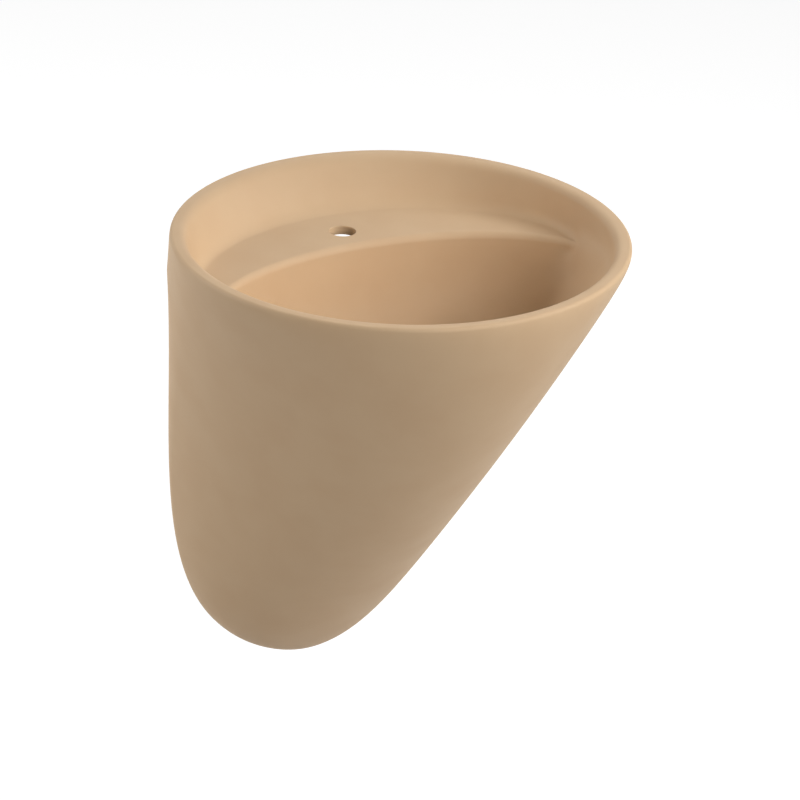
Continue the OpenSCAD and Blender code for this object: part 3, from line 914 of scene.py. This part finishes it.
    def under_bowl(self) -> bpy.types.Mesh:
        """The bowl's underside as a solid that the hollow goes round.

        Returns:
            The closed mesh.
        """
        angle = self.even_angles(self.under_around)
        rings = [self.bowl_ring(f, angle, self.wall_t) for f in np.linspace(np.pi / 2, 0, self.under_rings)]
        lid = rings[-1].copy()
        lid[:, 2] = self.rim_h - self.deck_depth
        return mesh_from_rings("casting_under_bowl", np.stack([*rings, lid]) * MM)

    def bar(self) -> bpy.types.Mesh:
        """The bar across the hollow that hangs on the hooks, with chamfered edges.

        Returns:
            The closed mesh, as long as the rim is wide.
        """
        c, y0, y1 = self.bar_chamfer, -self.bar_y, -self.bar_y - self.bar_t
        z0, z1 = self.bar_low, self.bar_low + self.bar_h
        yz = np.array([(y0 - c, z0), (y0, z0 + c), (y0, z1 - c), (y0 - c, z1),
                       (y1 + c, z1), (y1, z1 - c), (y1, z0 + c), (y1 + c, z0)])
        ends = [np.column_stack([np.full(len(yz), x), yz]) for x in (-self.rim_d / 2, self.rim_d / 2)]
        return mesh_from_rings("casting_bar", np.stack(ends)[:, ::-1] * MM)

    def drill(self, name: str, r: float, y: float, face_depth: float, thickness: float) -> bpy.types.Mesh:
        """A drill for a round hole whose upper edge is eased: part of a quarter circle from
        the hole's wall out to the level face.

        Args:
            name: the mesh's name.
            r: radius of the hole.
            y: distance of its axis from the wall.
            face_depth: depth of the level face under the rim's top.
            thickness: thickness of the ceramic there.

        Returns:
            The closed mesh.
        """
        turn = np.radians(np.linspace(0, self.drill_turn, self.ease_rings))
        ease, top = self.drill_ease, self.rim_h - face_depth
        edge = np.column_stack([r + ease * (1 - np.cos(turn)), top - ease + ease * np.sin(turn)])
        low = top - thickness - self.drill_past
        profile = np.vstack([[(r, low)], edge, [(edge[-1, 0], top + self.drill_past)]])
        return turned(name, profile, (0.0, -y), self.drill_around)

    def build(self) -> bpy.types.Object:
        """Make the casting and put it in place of its solid.

        Returns:
            The casting's object.
        """
        glaze, clay = MATT_GLAZE.material(), BARE_CLAY.material()
        outside = self.outside()
        outside.materials.append(glaze)
        space = carved(self.hollow(), [self.under_bowl(), self.bar()])
        space.materials.clear()
        space.materials.append(clay)
        drills = [self.drill("tap_drill", self.tap_hole_d / 2, self.tap_y, self.deck_depth, self.deck_t),
                  self.drill("waste_drill", self.waste_hole_d / 2, self.waste_y, self.bowl_depth,
                             self.floor_t)]
        for tool in drills:
            tool.materials.append(glaze)
        mesh = carved(outside, [space, *drills])
        mesh.shade_smooth()
        mesh.set_sharp_from_angle(angle=math.radians(self.sharp_deg))
        piece = show(mesh, "ceramic_casting", "root", Slot.CERAMIC)
        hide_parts("basin")
        return piece


class Fittings:
    """The metal, plastic and rubber pieces, which keep their solids and get their finishes."""

    def dress(self) -> list[str]:
        """Give each fitting's solid its finish.

        Returns:
            The names of the nodes that were dressed.
        """
        by_slot = {
            Slot.CERAMIC: MATT_GLAZE.material(), Slot.PLATE: ZINC_PLATE.material(),
            Slot.PLASTIC: MOULDED_PLASTIC.material(), Slot.CHROME: CHROME_PLATE.material(),
            Slot.BRASS: TURNED_BRASS.material(), Slot.RUBBER: PRESSED_RUBBER.material()}
        done = []
        for part in frame["record"]["subparts"]:
            node = frame["nodes"][part["node"]]
            if part["node"] == "basin":
                continue
            for holder in node.material_slots:
                holder.material = by_slot[Slot(part["material_slot"])]
            done.append(part["node"])
        return done


@dataclass(frozen=True)
class Lamp:
    """One soft white area lamp that looks at a point.

    Attributes:
        name: its name.
        place: position in metres.
        power: watts.
        size: side of the square, in metres.
    """

    name: str
    place: tuple[float, float, float]
    power: float
    size: float = 2.0

    def build(self, target: Vector) -> bpy.types.Object:
        """Make the lamp and turn it to its target.

        Args:
            target: the point that it looks at.

        Returns:
            The lamp's object.
        """
        data = bpy.data.lights.new(self.name, "AREA")
        data.shape, data.size, data.energy = "SQUARE", self.size, self.power
        lamp = put(self.name, data)
        lamp.location = self.place
        lamp.rotation_euler = (target - Vector(self.place)).to_track_quat("-Z", "Y").to_euler()
        return lamp


@dataclass
class Studio:
    """Floor, lamps, surroundings and the camera of the photograph.

    Attributes:
        picture_px: width and height of the picture.
        heading: degrees that the camera stands to the left of the front.
        pitch: degrees that it looks down.
        roll: degrees that the picture is turned clockwise.
        focal_px: focal length in pixels of that picture.
        sensor_mm: width of the camera's sensor.
        distance: distance from the rim's centre, in metres.
        far: how far the camera sees, in metres.
        aim_px: pixel at which the rim's centre stands.
        rim_centre: the rim's centre, in metres.
        floor_z: height of the floor, 850 mm under the rim.
        floor_half: half the floor's side, in metres.
        floor_paint: the floor's colour for the light that it gives, as sRGB hex.
        floor_shade: the part of its looks that takes shadows, as sRGB hex.
        floor_glow: the part of its looks that is its own light.
        room_light: strength of the even light from all round.
        lamp_target: the point that every lamp looks at, in metres.
        lamps: the lamps.
    """

    picture_px: float = 800.0
    heading: float = 29.27
    pitch: float = 22.84
    roll: float = 2.17
    focal_px: float = 5000.0
    sensor_mm: float = 36.0
    distance: float = 6.486
    far: float = 100.0
    aim_px: tuple[float, float] = (400.9, 239.0)
    rim_centre: tuple[float, float, float] = (0.0, -0.3, 0.215)
    floor_z: float = -0.63
    floor_half: float = 12.0
    floor_paint: str = "C3C3C3"
    floor_shade: str = "AAAAAA"
    floor_glow: float = 0.77
    room_light: float = 0.01
    lamp_target: tuple[float, float, float] = (0.0, -0.3, 0.0)
    lamps: tuple[Lamp, ...] = (Lamp("key_right_front", (3.059, -2.066, 1.878), 69.0),
                               Lamp("key_front", (0.000, -3.832, 1.878), 76.0),
                               Lamp("fill_right_front_high", (2.318, -1.638, 2.973), 33.0),
                               Lamp("back_right", (1.338, 2.018, 2.973), 29.0),
                               Lamp("back_left", (-1.766, 2.759, 1.878), 33.0),
                               Lamp("low_left", (-3.430, 1.681, 0.557), 60.0),
                               Lamp("overhead", (0.0, -0.3, 4.0), 8.0))

    def camera(self) -> bpy.types.Object:
        """Camera whose direction sends the rim's centre to its pixel.

        The ray through that pixel, after the roll is undone, must point from the camera to the
        rim's centre; its pitch and heading are solved for in turn.

        Returns:
            The camera's object, which is made the scene's camera.
        """
        e, a = math.radians(self.pitch), math.radians(self.heading)
        c, s = math.cos(math.radians(self.roll)), math.sin(math.radians(self.roll))
        half = self.picture_px / 2
        dx, dy = (self.aim_px[0] - half) / self.focal_px, -(self.aim_px[1] - half) / self.focal_px
        d = Vector((c * dx - s * dy, s * dx + c * dy, -1.0)).normalized()
        reach = math.hypot(d.y, d.z)
        phase = math.atan2(d.z, d.y)
        swing = math.acos(max(-1.0, min(1.0, -math.sin(e) / reach)))
        tilt = (phase + swing + math.pi) % (2 * math.pi) - math.pi
        if abs(tilt) > math.pi / 2:
            tilt = phase - swing
        forward = d.y * math.sin(tilt) - d.z * math.cos(tilt)
        turn = math.atan2(d.x, forward)
        heading = Vector((math.sin(a) * math.cos(turn) - math.cos(a) * math.sin(turn),
                          math.sin(a) * math.sin(turn) + math.cos(a) * math.cos(turn), 0.0))
        right = Vector((heading.y, -heading.x, 0.0))
        look = Vector((heading.x * math.cos(tilt), heading.y * math.cos(tilt), -math.sin(tilt)))
        up = right.cross(look)
        rolled_right, rolled_up = c * right + s * up, c * up - s * right
        place = Vector(self.rim_centre) + self.distance * Vector(
            (-math.sin(a) * math.cos(e), -math.cos(a) * math.cos(e), math.sin(e)))
        data = bpy.data.cameras.new("camera")
        data.sensor_width = self.sensor_mm
        data.lens = self.sensor_mm * self.focal_px / self.picture_px
        data.clip_end = self.far
        camera = put("camera", data)
        turned_axes = Matrix((rolled_right, rolled_up, -look)).transposed()
        camera.matrix_world = Matrix.Translation(place) @ turned_axes.to_4x4()
        bpy.context.scene.camera = camera
        return camera

    def surroundings(self) -> None:
        """Faint even light from all round; where it is looked at, the background is white."""
        world = bpy.data.worlds.new("surroundings")
        bpy.context.scene.world = world
        tree = empty_tree(world)
        lit = add_node(tree, "ShaderNodeBackground", {"Strength": self.room_light})
        white = add_node(tree, "ShaderNodeBackground", {"Color": (1, 1, 1, 1), "Strength": 1.0})
        add_node(tree, "ShaderNodeOutputWorld", {"Surface": by_sight(tree, lit, white)})

    def floor(self) -> bpy.types.Object:
        """White floor. Where it is looked at, part of its light is its own, so that it stays
        white but keeps the object's shadow.

        Returns:
            The floor's object.
        """
        mesh = bpy.data.meshes.new("floor")
        corners = [(-1, -1), (1, -1), (1, 1), (-1, 1)]
        mesh.from_pydata([(x * self.floor_half, y * self.floor_half, self.floor_z) for x, y in corners],
                         [], [(0, 1, 2, 3)])
        made = bpy.data.materials.new("white_studio_floor")
        tree = empty_tree(made)
        paint = add_node(tree, "ShaderNodeBsdfDiffuse", {"Color": linear(self.floor_paint)})
        shade = add_node(tree, "ShaderNodeBsdfDiffuse", {"Color": linear(self.floor_shade)})
        glow = add_node(tree, "ShaderNodeEmission", {"Color": (1, 1, 1, 1), "Strength": self.floor_glow})
        both = add_node(tree, "ShaderNodeAddShader", {0: shade.outputs[0], 1: glow.outputs[0]})
        add_node(tree, "ShaderNodeOutputMaterial", {"Surface": by_sight(tree, paint, both)})
        mesh.materials.append(made)
        piece = put("floor", mesh)
        return piece

    def build(self) -> None:
        """Set the whole studio up."""
        bpy.context.scene.view_settings.view_transform = "Standard"
        self.camera()
        self.floor()
        self.surroundings()
        for lamp in self.lamps:
            lamp.build(Vector(self.lamp_target))


def main() -> None:
    """Build every sub-assembly in order and report its pieces."""
    logging.basicConfig(level=logging.INFO, format="%(name)s: %(message)s")
    Studio().build()
    casting = Casting().build()
    log.info("%s: %d faces", casting.name, len(casting.data.polygons))
    for node in Fittings().dress():
        log.info("dressed %s", node)


if __name__ == "__main__":
    main()
